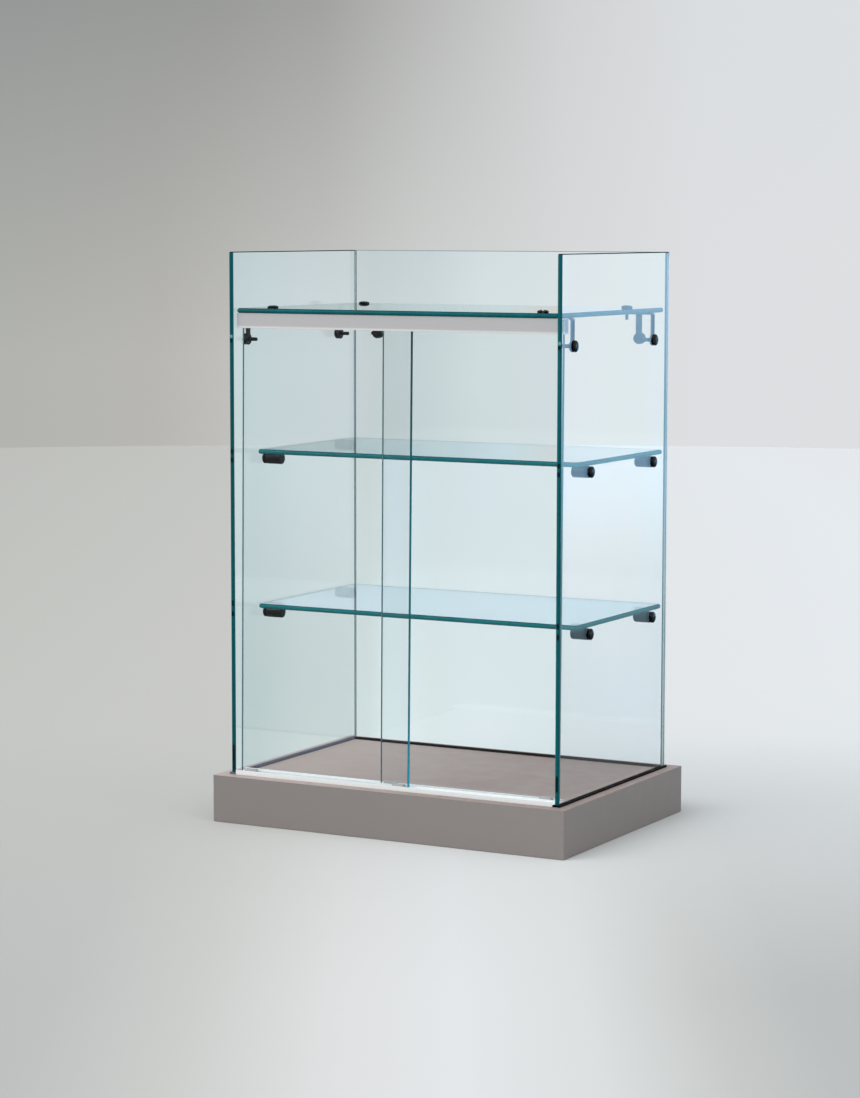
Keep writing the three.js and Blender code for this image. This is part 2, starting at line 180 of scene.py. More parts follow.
def rgb(r, g, b):
    """An sRGB colour of 0 to 255 as a linear one."""
    def linear(v):
        v /= 255
        return v / 12.92 if v <= 0.04045 else ((v + 0.055) / 1.055) ** 2.4
    return (linear(r), linear(g), linear(b), 1)


# ---- Materials ----

GLASS_IOR = 1.5
TRACK_TOP, HEADER_FOOT = 0.06, 0.63  # the heights between which an upright edge changes colour


def pane_material(name, tint):
    """A pane's face: glass to the eye, while lamps and bounced light pass straight through it, tinted."""
    s = Shader(name)
    cloud = s.grey_ramp(s.noise(3, 2), 0.3, 0.7)
    lighter = [min(1, c * 1.012) for c in tint[:3]] + [1]
    colour = s.mix_colour(cloud, tint, lighter)
    film = s.grey_ramp(s.noise(9, 4), 0.4, 0.75, 0.0, 0.012)
    glass = s.node("BsdfGlass", {"Color": colour, "Roughness": film, "IOR": GLASS_IOR})
    through = s.node("BsdfTransparent", {"Color": colour})
    path = s.node("LightPath")
    seen = s.mix_shader(path.outputs["Is Diffuse Ray"], glass, through)
    return s.surface(s.mix_shader(path.outputs["Is Shadow Ray"], seen, through))


def edge_surface(s, colour, inner):
    """Teal seen from outside the glass, and a paler colour of painted light where the edge is seen from
    inside it.
    """
    inside = s.node("NewGeometry").outputs["Backfacing"]
    colour = s.mix_colour(inside, colour, inner)
    shine = s.map_range(s.facing_up(), 0.5, 0.9, 0.16, 0.0)
    roughness = s.grey_ramp(s.noise(300, 2), 0.3, 0.7, 0.2, 0.35)
    return s.solid(colour, roughness, shine, s.bump(s.noise(1800, 2), 0.15, 0.0002))


def painted_reflection_bands(s, heights):
    """0 along an upright edge, rising to 1 in bands of painted reflection at the given heights, such as
    those of the black screws and pegs behind it.
    """
    z = s.place_axis(2)
    fade = 1.5
    total = 0.0
    for at, half, strength in heights:
        off = s.math("ABSOLUTE", s.math("SUBTRACT", z, at * MM))
        band = s.map_range(off, half * MM, (half + fade) * MM, strength, 0.0)
        total = s.math("MAXIMUM", total, band)
    return total


def edge_material(name, low_x, high_x, stops, reflections):
    """A side pane's upright edge: deep teal with painted shade that changes across the pane's thickness, and
    painted reflections at given heights.
    """
    s = Shader(name)
    across = s.map_range(s.place_axis(0), low_x, high_x)
    colour = s.ramp(across, stops)
    streaks = s.grey_ramp(s.noise(60, 3, 0.6, UPRIGHT_STREAKS), 0.35, 0.75, 0.0, 0.3)
    colour = s.mix_colour(streaks, colour, rgb(14, 116, 122))
    for heights, shade in reflections:
        colour = s.mix_colour(painted_reflection_bands(s, heights), colour, shade)
    return edge_surface(s, colour, s.ramp(across, PALE))


def falling_edge_material(name, stops, inner, rims=None):
    """An upright edge whose colour changes from the plinth up in painted light and shade, with painted dark
    lines at its rims if their Y is given.
    """
    s = Shader(name)
    rise = s.map_range(s.place_axis(2), TRACK_TOP, HEADER_FOOT)
    streaks = s.grey_ramp(s.noise(60, 3, 0.6, UPRIGHT_STREAKS), 0.35, 0.75, 0.85, 1.0)
    colour = s.multiply(s.ramp(rise, stops), streaks)
    if rims:
        across = s.map_range(s.place_axis(1), *rims)
        dark, clear = (0.12, 0.2, 0.22), (1, 1, 1)
        shade = s.ramp(across, [(0.2, dark), (0.28, clear), (0.72, clear), (0.8, dark)])
        colour = s.multiply(colour, shade)
    return edge_surface(s, colour, inner)


def rounded_edge_material(name, middle, lip):
    """A lying plate's ground edge in painted light and shade: brightest where it faces out, darker as it
    turns up or down.
    """
    s = Shader(name)
    tilt = s.math("ABSOLUTE", s.facing_up())
    colour = s.ramp(tilt, [(0.0, middle), (0.55, middle), (0.85, lip), (1.0, lip)])
    streaks = s.grey_ramp(s.noise(25, 3, 0.6), 0.4, 0.75, 0.0, 0.25)
    colour = s.mix_colour(streaks, colour, rgb(10, 134, 140))
    return edge_surface(s, colour, rgb(150, 176, 182))


def arris_material(name, upright, lying):
    """A pane's narrow ground corner in painted light and shade: one colour on the upright edges, another
    along the top.
    """
    s = Shader(name)
    grit = s.noise(900, 3)
    facing_up = s.facing_up()
    colour = s.mix_colour(s.math("GREATER_THAN", facing_up, 0.5), upright, lying)
    fleck = s.grey_ramp(grit, 0.35, 0.7, 0.0, 0.08)
    colour = s.mix_colour(fleck, colour, rgb(110, 140, 146))
    shine = s.math("MULTIPLY", s.math("LESS_THAN", facing_up, 0.5), 0.1)
    return s.solid(colour, s.grey_ramp(grit, 0.3, 0.7, 0.4, 0.6), shine)


def lacquer_material(name, low, high, low_x=-2.0, high_x=2.0):
    """Satin lacquer with a painted falloff of light from one shade to another along X, a soft cloud and a
    fine grain.
    """
    s = Shader(name)
    grain = s.noise(700, 3)
    painted_falloff = s.map_range(s.place_axis(0), low_x, high_x, -0.2, 1.0)
    cloud = s.math("MULTIPLY", s.grey_ramp(s.noise(6, 4), 0.3, 0.7), 0.2)
    base = s.mix_colour(s.math("ADD", painted_falloff, cloud, clamp=True), low, high)
    base = s.mix_colour(s.grey_ramp(grain, 0.35, 0.7, 0.0, 0.1), base, (0.34, 0.31, 0.30, 1))
    roughness = s.grey_ramp(s.noise(40, 3), 0.3, 0.7, 0.42, 0.55)
    return s.solid(base, roughness, 0.22, s.bump(grain, 0.12, 0.0002))


def aluminium_material(name, base, speckle, metallic, painted_band_height, painted_band_colour):
    """Blasted, anodised aluminium: a fine speckle over a soft mottle, and below a height in mm a painted
    band of another colour, light on the header and dark on the track.
    """
    s = Shader(name)
    fine = s.noise(1400, 3, 0.7)
    blotch = s.grey_ramp(s.noise(330, 2, 0.6), 0.35, 0.65, 0.0, 0.22)
    darker = [c * 0.82 for c in base[:3]] + [1]
    colour = s.mix_colour(s.grey_ramp(fine, 0.38, 0.62), speckle, base)
    colour = s.mix_colour(blotch, colour, darker)
    low = s.map_range(s.place_axis(2), (painted_band_height - 1) * MM, (painted_band_height + 1) * MM, 1.0, 0.0)
    colour = s.mix_colour(low, colour, painted_band_colour)
    roughness = s.grey_ramp(fine, 0.3, 0.7, 0.38, 0.55)
    return s.solid(colour, roughness, 0.3, s.bump(fine, 0.25, 0.0002), metallic)


def mottled_material(name, base, light, rough_low, rough_high, scale, specular, metallic=0.0):
    """A solid with a little mottling in its colour and its shine."""
    s = Shader(name)
    mottle = s.noise(scale, 3, 0.6)
    colour = s.mix_colour(s.grey_ramp(mottle, 0.4, 0.75, 0.0, 0.6), (*base, 1), (*light, 1))
    roughness = s.grey_ramp(mottle, 0.3, 0.7, rough_low, rough_high)
    return s.solid(colour, roughness, specular, s.bump(mottle, 0.1, 0.0001), metallic)


UPRIGHT_STREAKS = (1, 1, 0.08)
FACE = pane_material("glass_face", (0.980, 0.990, 0.990, 1))
DOOR_FACE = pane_material("door_glass_face", (0.978, 0.986, 0.988, 1))
# Painted light and shade on the ground corners: the second colour is the one along each pane's top.
SIDE_ARRIS = arris_material("side_arris", rgb(6, 94, 102), rgb(3, 8, 10))
BACK_ARRIS = arris_material("back_arris", rgb(84, 120, 126), rgb(136, 150, 155))
DOOR_ARRIS = arris_material("door_arris", rgb(16, 92, 100), rgb(60, 92, 98))
# Painted shade across a side pane's upright edge: one part of its thickness is darker than the rest.
LIGHT_TO_DARK = [
    (0.0, rgb(10, 98, 104)), (0.6, rgb(4, 88, 96)), (0.75, rgb(0, 62, 70)), (1.0, rgb(0, 70, 78)),
]
DARK_TO_LIGHT = [
    (0.0, rgb(6, 92, 98)), (0.35, rgb(2, 84, 90)), (0.6, rgb(0, 68, 72)), (1.0, rgb(0, 74, 78)),
]
# Painted light: the pale colour a side pane's upright edge shows from inside the glass, lightest
# mid-thickness.
PALE = [(0.0, rgb(214, 226, 230)), (0.5, rgb(228, 238, 242)), (1.0, rgb(214, 226, 230))]
# Painted shade on the plates' rounded edges: the second colour is where an edge turns up or down.
SHELF_EDGE = rounded_edge_material("shelf_ground_edge", rgb(0, 108, 114), rgb(0, 76, 86))
TOP_EDGE = rounded_edge_material("top_ground_edge", rgb(6, 92, 98), rgb(8, 56, 64))
LACQUER = lacquer_material("taupe_lacquer", (0.270, 0.246, 0.236, 1), (0.292, 0.266, 0.256, 1))
# Painted light: the deck is a lighter copy of the taupe lacquer, light at the left and falling off to darker
# at the right.
DECK_LACQUER_PAINTED_LIGHT = lacquer_material(
    "deck_lacquer_painted_light", (0.480, 0.392, 0.364, 1), (0.337, 0.262, 0.240, 1), low_x=-0.2, high_x=0.12)
# Painted highlight along the header's foot and painted shade at the track's foot, each as a band below a
# height.
HEADER = aluminium_material(
    "header_aluminium", (0.63, 0.622, 0.632, 1), (0.49, 0.485, 0.493, 1),
    metallic=0.1, painted_band_height=634.5, painted_band_colour=(0.78, 0.77, 0.775, 1))
TRACK = aluminium_material(
    "track_aluminium", (0.95, 0.99, 1.0, 1), (0.87, 0.91, 0.92, 1),
    metallic=0.0, painted_band_height=60.6, painted_band_colour=(0.80, 0.80, 0.80, 1))
GASKET = mottled_material(
    "gasket_rubber", (0.002, 0.002, 0.002), (0.008, 0.007, 0.007), 0.5, 0.75, 500, 0.08)
# Painted reflection: the left gasket's blue-grey stands in for what the left pane mirrors along it; the
# rubber itself is black.
GASKET_PAINTED_REFLECTION = mottled_material(
    "gasket_rubber_painted_reflection", (0.13, 0.16, 0.22), (0.16, 0.19, 0.25), 0.5, 0.75, 500, 0.2)
STEEL = mottled_material(
    "black_steel", (0.004, 0.0045, 0.005), (0.011, 0.012, 0.013), 0.28, 0.42, 260, 0.22)
FASTENER = mottled_material(
    "black_fastener", (0.0015, 0.0015, 0.002), (0.005, 0.005, 0.006), 0.13, 0.22, 400, 0.25)
GLIDE = mottled_material(
    "glide_plastic", (0.46, 0.465, 0.47), (0.56, 0.565, 0.57), 0.35, 0.5, 350, 0.3)
ZINC = mottled_material(
    "zinc_steel", (0.50, 0.50, 0.52), (0.66, 0.66, 0.67), 0.25, 0.4, 300, 0.5, metallic=0.9)


# ---- Mesh helpers ----

def add_object(name, mesh, body, slot, *nodes):
    piece = bpy.data.objects.new(name, mesh)
    bpy.context.scene.collection.objects.link(piece)
    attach(piece, body)
    if nodes:
        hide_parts(*nodes)
    return piece


def body_of(node):
    return NODES[node]["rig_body"]


def settled(name, modified):
    """The mesh of an object with its modifiers applied; the object itself goes."""
    graph = bpy.context.evaluated_depsgraph_get()
    graph.update()
    mesh = bpy.data.meshes.new_from_object(modified.evaluated_get(graph))
    mesh.name = name
    bpy.data.objects.remove(modified)
    return mesh


def temporary(mesh):
    made = bpy.data.objects.new("temporary", mesh)
    bpy.context.scene.collection.objects.link(made)
    return made


def combined(name, mesh, others, operation):
    """Joins other meshes to a mesh, or cuts them away from it."""
    base = temporary(mesh)
    tools = [temporary(other) for other in others]
    for tool in tools:
        step = base.modifiers.new("step", "BOOLEAN")
        step.object = tool
        step.operation = operation
        step.solver = "EXACT"
    result = settled(name, base)
    for tool in tools:
        bpy.data.objects.remove(tool)
    return result


def bar_mesh(radius, low, high, segments=48, turn=Matrix.Identity(4)):
    """A round bar along Z between two heights, then turned into place."""
    bm = bmesh.new()
    bmesh.ops.create_cone(
        bm, cap_ends=True, segments=segments, radius1=radius, radius2=radius, depth=high - low)
    bm.transform(turn @ Matrix.Translation((0, 0, (low + high) / 2)))
    mesh = bpy.data.meshes.new("bar")
    bm.to_mesh(mesh)
    bm.free()
    return mesh


def block_mesh(low, high):
    bm = bmesh.new()
    bmesh.ops.create_cube(bm, size=1)
    size = Vector(high) - Vector(low)
    centre = (Vector(high) + Vector(low)) / 2
    bm.transform(Matrix.Translation(centre) @ Matrix.Diagonal((*size, 1)))
    mesh = bpy.data.meshes.new("block")
    bm.to_mesh(mesh)
    bm.free()
    return mesh


def turned_mesh(name, profile, segments=48):
    """A profile of (radius, height) points in millimetres, turned about Z."""
    bm = bmesh.new()
    rings = []
    for radius, height in profile:
        if radius == 0:
            rings.append([bm.verts.new((0, 0, height * MM))])
            continue
        r, z = radius * MM, height * MM
        angles = (2 * math.pi * i / segments for i in range(segments))
        rings.append([bm.verts.new((r * math.cos(a), r * math.sin(a), z)) for a in angles])
    for lower, upper in zip(rings, rings[1:]):
        for i in range(segments):
            j = (i + 1) % segments
            if len(lower) == 1:
                bm.faces.new((lower[0], upper[j], upper[i]))
            elif len(upper) == 1:
                bm.faces.new((lower[i], lower[j], upper[0]))
            else:
                bm.faces.new((lower[i], lower[j], upper[j], upper[i]))
    bmesh.ops.recalc_face_normals(bm, faces=bm.faces)
    mesh = bpy.data.meshes.new(name)
    bm.to_mesh(mesh)
    bm.free()
    return mesh


def arc(centre, radius, start, end, steps):
    """Points on an arc in a profile, in degrees, both ends included."""
    angles = [math.radians(start + (end - start) * i / steps) for i in range(steps + 1)]
    return [(centre[0] + radius * math.cos(a), centre[1] + radius * math.sin(a)) for a in angles]


def smooth(mesh, angle=35):
    mesh.shade_smooth()
    bm = bmesh.new()
    bm.from_mesh(mesh)
    for edge in bm.edges:
        edge.smooth = len(edge.link_faces) == 2 and edge.calc_face_angle(0) < math.radians(angle)
    bm.to_mesh(mesh)
    bm.free()


def ease(obj, width, segments=2):
    """Rounds an object's sharp edges."""
    bevel = obj.modifiers.new("ease", "BEVEL")
    bevel.width = width
    bevel.segments = segments
    bevel.limit_method = "ANGLE"
    bevel.angle_limit = math.radians(40)


def dress(node, material, width, segments=2):
    """Keeps a CAD node's own shape, with its edges eased."""
    obj = NODES[node]
    obj.data.materials.clear()
    obj.data.materials.append(material)
    weld = obj.modifiers.new("weld", "WELD")
    weld.merge_threshold = 1e-6
    ease(obj, width, segments)


# ---- Plinth, gaskets and tracks ----

for side in ("front", "right", "back", "left"):
    dress(f"plinth_{side}_board", LACQUER, 0.35 * MM)
dress("plinth_deck", DECK_LACQUER_PAINTED_LIGHT, 0.35 * MM)
for side in ("left", "right", "back"):
    dress(f"{side}_gasket", GASKET_PAINTED_REFLECTION if side == "left" else GASKET, 0.5 * MM, 3)
dress("header_track", HEADER, 0.3 * MM)
dress("bottom_track", TRACK, 0.3 * MM)
for door in ("left_door", "right_door"):
    for end in ("left", "right"):
        dress(f"{door}_glide_{end}", GLIDE, 0.4 * MM, 3)


# ---- Panes ----

# In square metres: a pane's cut faces are larger than the first, its holes' facets smaller than the second.
CUT_FACE, DRILLED_FACE = 5e-4, 2e-4


def pane(node, face, edge, arris, ground_width):
    """A flat pane with ground corners; the cut edges and the corners have their own materials."""
    bm = bmesh.new()
    bm.from_mesh(NODES[node].data)
    bmesh.ops.remove_doubles(bm, verts=bm.verts, dist=1e-6)
    bmesh.ops.dissolve_limit(bm, angle_limit=math.radians(1), verts=bm.verts, edges=bm.edges)
    broad = max(bm.faces, key=lambda f: f.calc_area()).normal.copy()
    cut = [f for f in bm.faces if abs(f.normal.dot(broad)) < 0.5 and f.calc_area() > CUT_FACE]
    outer = {v for f in cut for v in f.verts}
    square = math.radians(60)
    sharp = [e for e in bm.edges if set(e.verts) <= outer and e.calc_face_angle(0) > square]
    bevel = bmesh.ops.bevel(bm, geom=sharp, offset=ground_width, segments=1, profile=0.5, affect="EDGES")
    ground = bevel["faces"]
    for f in bm.faces:
        flat = abs(f.normal.dot(broad)) > 0.999
        drilled = f.calc_area() < DRILLED_FACE and f not in ground
        f.material_index = 0 if flat or drilled else 1
    for f in ground:
        f.material_index = 2
    mesh = bpy.data.meshes.new(node)
    bm.to_mesh(mesh)
    bm.free()
    for material in (face, edge, arris):
        mesh.materials.append(material)
    add_object(f"{node}_pane", mesh, body_of(node), "clear_glass", node)


# The heights in mm of painted reflections on an upright edge, dark ones of the pegs, screws and gaskets
# behind it and one light band: centre, half height, strength.
DARK_REFLECTION = rgb(3, 20, 24)
SCREW_REFLECTION = (616, 1.5, 1.0)
PEG_REFLECTIONS = [(475, 2.2, 0.95), (464.5, 2.2, 0.95), (281, 2.5, 0.95), (267.5, 2.5, 0.95)]
EDGE_REFLECTIONS = [
    ([SCREW_REFLECTION, *PEG_REFLECTIONS, (88, 9, 0.9)], DARK_REFLECTION),
    ([(621.5, 1.0, 0.7)], rgb(120, 186, 196)),
]
left_low, left_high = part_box("left_side_glass")
right_low, right_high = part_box("right_side_glass")
back_low, back_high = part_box("back_glass")
left_reflections = [*EDGE_REFLECTIONS, ([(76, 15, 0.7)], DARK_REFLECTION)]
left_edge = edge_material("left_pane_edge", left_low.x, left_high.x, DARK_TO_LIGHT, left_reflections)
right_edge = edge_material("right_pane_edge", right_low.x, right_high.x, LIGHT_TO_DARK, EDGE_REFLECTIONS)
# Painted light on the back pane's upright edge: near white low down, greyer and darker higher up.
corner_fall = [
    (0.0, rgb(232, 242, 244)), (0.45, rgb(222, 234, 238)),
    (0.75, rgb(134, 158, 168)), (1.0, rgb(122, 146, 158)),
]
back_rims = (back_low.y, back_high.y)
back_edge = falling_edge_material("back_pane_edge", corner_fall, rgb(222, 233, 238), back_rims)
pane("left_side_glass", FACE, left_edge, SIDE_ARRIS, 1.1 * MM)
pane("right_side_glass", FACE, right_edge, SIDE_ARRIS, 1.1 * MM)
pane("back_glass", FACE, back_edge, BACK_ARRIS, 0.9 * MM)
# Painted light on the doors' upright edges: brightest low down, darker toward the top.
door_falls = {
    "left_door": [
        (0.0, rgb(2, 172, 208)), (0.38, rgb(2, 130, 142)), (0.7, rgb(2, 112, 120)), (1.0, rgb(4, 66, 72)),
    ],
    "right_door": [(0.0, rgb(120, 146, 152)), (0.5, rgb(84, 118, 124)), (1.0, rgb(50, 84, 90))],
}
for door, fall in door_falls.items():
    door_edge = falling_edge_material(f"{door}_edge", fall, rgb(120, 150, 158))
    pane(door, DOOR_FACE, door_edge, DOOR_ARRIS, 0.6 * MM)


# ---- Shelves and top glass, with ground edges ----

def plate(node, edge, holes=()):
    """A lying plate with rounded corners and a half-round edge; the holes are its bolts' X and Y."""
    low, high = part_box(node)
    half = (high.z - low.z) / 2
    corner, hole, near_hole = 6 * MM, 3.5 * MM, 5 * MM
    edge_steps, corner_steps = 16, 6
    middle = (low.z + high.z) / 2
    corners = ((high.x, high.y), (low.x, high.y), (low.x, low.y), (high.x, low.y))
    bm = bmesh.new()
    rings = []
    for step in range(edge_steps + 1):
        tilt = math.radians(-90 + 180 * step / edge_steps)
        r = corner - half * (1 - math.cos(tilt))
        z = middle + half * math.sin(tilt)
        ring = []
        for quarter, (x, y) in enumerate(corners):
            cx = x - math.copysign(corner, x)
            cy = y - (corner if y == high.y else -corner)
            for i in range(corner_steps + 1):
                a = math.radians(90 * (quarter + i / corner_steps))
                ring.append(bm.verts.new((cx + r * math.cos(a), cy + r * math.sin(a), z)))
        rings.append(ring)
    for lower, upper in zip(rings, rings[1:]):
        for i in range(len(lower)):
            j = (i + 1) % len(lower)
            f = bm.faces.new((lower[i], lower[j], upper[j], upper[i]))
            f.smooth = True
    bm.faces.new(list(reversed(rings[0])))
    bm.faces.new(rings[-1])
    mesh = bpy.data.meshes.new(node)
    bm.to_mesh(mesh)
    bm.free()
    if holes:
        below, above = low.z - 0.01, high.z + 0.01
        cutters = [bar_mesh(hole, below, above, 32, Matrix.Translation((x, y, 0))) for x, y in holes]
        mesh = combined(node, mesh, cutters, "DIFFERENCE")
    mesh.materials.clear()
    mesh.materials.append(FACE)
    mesh.materials.append(edge)
    for p in mesh.polygons:
        x, y, _ = p.center
        drilled = any(math.hypot(x - hx, y - hy) < near_hole for hx, hy in holes)
        p.material_index = 0 if abs(p.normal.z) > 0.999 or drilled else 1
    add_object(f"{node}_plate", mesh, body_of(node), "clear_glass", node)


def centre_of(node):
    low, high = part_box(node)
    return (low + high) / 2


bolt_nodes = [f"top_bolt_{row}_{side}" for row in ("front", "back") for side in ("left", "right")]
plate("top_glass", TOP_EDGE, [centre_of(n)[:2] for n in bolt_nodes])
plate("middle_shelf", SHELF_EDGE)
plate("lower_shelf", SHELF_EDGE)


# ---- Slotted caps on their screws ----

# In millimetres; GLASS is the thickness of the pane or plate that a screw passes through.
CAP_RADIUS, CAP_HEIGHT, SLEEVE_RADIUS, GLASS = 7.25, 3.5, 3, 6.0
SLOT_DEPTH = 1.4


def screw_mesh(name, thread, reach, slot_half=0.8):
    """A slotted domed cap with its top at height 0, a sleeve through the glass, and a ringed thread."""
    seat = -CAP_HEIGHT
    far_face = seat - GLASS
    end = far_face - reach
    lip, ring_pitch = 0.9, 0.7
    profile = [(0, end), (thread - 0.5, end), (thread, end + 0.5)]
    height = end + 0.8
    while height < far_face - 0.9:
        profile += [(thread, height), (thread - 0.3, height + 0.2), (thread, height + 0.4)]
        height += ring_pitch
    profile += [(thread, far_face), (SLEEVE_RADIUS, far_face), (SLEEVE_RADIUS, seat)]
    profile.append((CAP_RADIUS - lip, seat))
    profile += arc((CAP_RADIUS - lip, seat + lip), lip, -80, 0, 4)
    rise = CAP_HEIGHT - lip
    for degrees in range(10, 90, 10):
        a = math.radians(degrees)
        profile.append((CAP_RADIUS * math.cos(a) ** 0.75, rise * (math.sin(a) - 1)))
    profile.append((0, 0))
    half = slot_half * MM
    slot = block_mesh((-8 * MM, -half, -SLOT_DEPTH * MM), (8 * MM, half, 1 * MM))
    mesh = combined(name, turned_mesh(name, profile), [slot], "DIFFERENCE")
    smooth(mesh)
    mesh.materials.clear()
    mesh.materials.append(FASTENER)
    return mesh


def seat_screw(node, mesh, outward, slot_turn):
    """Puts a screw where its CAD node is, its cap facing outward and its slot turned by an angle."""
    low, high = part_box(node)
    outward = Vector(outward)
    top = (low + high) / 2
    for i in range(3):
        if outward[i]:
            top[i] = high[i] if outward[i] > 0 else low[i]
    piece = add_object(f"{node}_cap", mesh, body_of(node), "black_fastener", node)
    turn = outward.to_track_quat("Z", "Y").to_matrix().to_4x4()
    piece.matrix_world = Matrix.Translation(top) @ turn @ Matrix.Rotation(math.radians(slot_turn), 4, "Z")


top_bolt = screw_mesh("top_bolt", 2.0, 9.0, 1.1)
peg_screw = screw_mesh("peg_screw", 2.0, 11.0)
bracket_screw = screw_mesh("bracket_screw", 2.35, 14.0)
OUTWARD = {"left": (-1, 0, 0), "right": (1, 0, 0)}
# How far each screw's slot is turned, in degrees.
BOLT_TURNS = {"front_left": 28, "front_right": 118, "back_left": 42, "back_right": 70}
SCREW_TURNS = {"front": 60, "back": 20}
PEG_TURNS = {"middle_front": 35, "middle_back": 80, "lower_front": 110, "lower_back": 15}
for side, outward in OUTWARD.items():
    for row in ("front", "back"):
        seat_screw(f"top_bolt_{row}_{side}", top_bolt, (0, 0, 1), BOLT_TURNS[f"{row}_{side}"])
        seat_screw(f"bracket_screw_{row}_{side}", bracket_screw, outward, SCREW_TURNS[row])
        for level in ("middle", "lower"):
            seat_screw(f"peg_screw_{level}_{row}_{side}", peg_screw, outward, PEG_TURNS[f"{level}_{row}"])
    seat_screw(f"back_pane_screw_{side}", bracket_screw, (0, 1, 0), 40)


# ---- Pegs ----

# In millimetres. The free end is at height 0, and the bored end, which sits on the glass, is below.
PEG_RADIUS, PEG_LENGTH, PEG_BORE, BORE_RADIUS = 7.25, 22, 14, 2.3
foot = -PEG_LENGTH
bore_end = foot + PEG_BORE
peg_profile = [(0, bore_end), (BORE_RADIUS, bore_end), (BORE_RADIUS, foot), (PEG_RADIUS - 0.5, foot)]
peg_profile += arc((PEG_RADIUS - 0.5, foot + 0.5), 0.5, -90, 0, 4)
peg_profile += arc((PEG_RADIUS - 1, -1), 1, 0, 90, 5)
peg_profile += [(2.0, 0), (1.6, -0.4), (0, -0.4)]
peg = turned_mesh("shelf_peg", peg_profile)
smooth(peg)
peg.materials.append(STEEL)
for side, outward in OUTWARD.items():
    for level in ("middle", "lower"):
        for row in ("front", "back"):
            node = f"peg_{level}_{row}_{side}"
            low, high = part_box(node)
            tip = (low + high) / 2
            tip.x = high.x if side == "left" else low.x
            piece = add_object(f"{node}_post", peg, body_of(node), "black_steel", node)
            turn = (-Vector(outward)).to_track_quat("Z", "Y").to_matrix().to_4x4()
            piece.matrix_world = Matrix.Translation(tip) @ turn


# ---- Brackets: a strip bent down from an eye under the top glass ----

STRIP = 2 * MM


def arm_mesh(reach, drop, width):
    """An arm from the eye at the origin along +X, bent down at the far end; its top is at height 0."""
    bend = 3 * MM
    centre = (reach - bend, -bend)
    outer = [(0, 0), *arc(centre, bend, 90, 0, 8), (reach, -drop)]
    inner = [(0, -STRIP), *arc(centre, bend - STRIP, 90, 0, 8), (reach - STRIP, -drop)]
    outline = outer + inner[::-1]
    bm = bmesh.new()
    near = [bm.verts.new((x, -width / 2, z)) for x, z in outline]
    far = [bm.verts.new((x, width / 2, z)) for x, z in outline]
    count = len(outline)
    for i in range(count):
        j = (i + 1) % count
        bm.faces.new((near[i], near[j], far[j], far[i]))
    for i in range(len(outer) - 1):
        k = count - 1 - i
        bm.faces.new((near[i], near[k], near[k - 1], near[i + 1]))
        bm.faces.new((far[i], far[i + 1], far[k - 1], far[k]))
    bmesh.ops.recalc_face_normals(bm, faces=bm.faces)
    mesh = bpy.data.meshes.new("arm")
    bm.to_mesh(mesh)
    bm.free()
    return mesh


def bracket(row, side):
    """A strip bent down to a side pane from its eye; a back one has a second leg down the back pane."""
    node = f"bracket_{row}_{side}"
    low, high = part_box(node)
    eye, bolt_hole, screw_hole, width = 7.25 * MM, 2.3 * MM, 2.65 * MM, 8 * MM
    bolt = centre_of(f"top_bolt_{row}_{side}")
    drop = high.z - centre_of(f"bracket_screw_{row}_{side}").z
    face = high.x if side == "right" else low.x
    parts, holes = [], [bar_mesh(bolt_hole, -0.01, 0.01)]
    ways = [(Vector(OUTWARD[side]), abs(face - bolt.x))]
    if row == "back":
        ways.append((Vector((0, 1, 0)), high.y - bolt.y))
    for way, length in ways:
        turn = Matrix.Rotation(math.atan2(way.y, way.x), 4, "Z")
        arm = arm_mesh(length, drop, width)
        arm.transform(turn)
        across = turn @ Matrix.Translation((0, 0, -drop)) @ Matrix.Rotation(math.radians(90), 4, "Y")
        parts += [arm, bar_mesh(eye, length - STRIP, length, 48, across)]
        holes.append(bar_mesh(screw_hole, length - 2 * STRIP, length + STRIP, 32, across))
    mesh = bar_mesh(eye, -STRIP, 0)
    mesh = combined(node, mesh, parts, "UNION")
    mesh = combined(node, mesh, holes, "DIFFERENCE")
    mesh.transform(Matrix.Translation((bolt.x, bolt.y, high.z)))
    mesh.materials.clear()
    mesh.materials.append(STEEL)
    smooth(mesh)
    piece = add_object(f"{node}_strip", mesh, body_of(node), "black_steel", node)
    ease(piece, 0.2 * MM)


for row in ("front", "back"):
    for side in ("left", "right"):
        bracket(row, side)


# ---- Track screws ----

countersunk = [(0, -13), (1.5, -10.5), (1.5, -1.5), (2.9, -0.1), (2.8, 0), (0, 0)]
slot = block_mesh((-4 * MM, -0.35 * MM, -0.8 * MM), (4 * MM, 0.35 * MM, 1 * MM))
track_screw = combined("track_screw", turned_mesh("track_screw", countersunk, 32), [slot], "DIFFERENCE")
smooth(track_screw)
track_screw.materials.clear()
track_screw.materials.append(ZINC)
for spot in ("left", "middle", "right"):
    node = f"track_screw_{spot}"
    top = centre_of(node)
    top.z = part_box(node)[1].z
    piece = add_object(f"{node}_turned", track_screw, body_of(node), "zinc_steel", node)
    piece.matrix_world = Matrix.Translation(top)


# ---- Floor, backdrop and light ----

# The colour ramps below are fitted to the reference photograph, so this is not a plain set. Their stops
# stand at columns and rows measured across it, in the camera's units, and their values come from readings
# of the photograph and of earlier renders there. The lifts correct what shows through the glass toward it,
# so a match there says nothing about the glass itself.

AHEAD = Vector((-math.sin(YAW), math.cos(YAW), 0))
MIRRORED = Vector((math.sin(YAW), math.cos(YAW), 0))  # the way ahead, as a side pane mirrors it
UP = Vector((0, 0, 1))
TWICE = (2, 2, 2, 1)
# Painted light: the lifts brighten what is seen through glass in place of the glass's reflections.
PLAIN_LIFT = (0.56, 0.60, 0.61)  # half of how much brighter a thing is when it is seen through glass


def along(s, position, direction, low, high):
    """How far a position lies along a direction, as 0 to 1 between two distances."""
    return s.map_range(s.dot(position, direction), low, high)


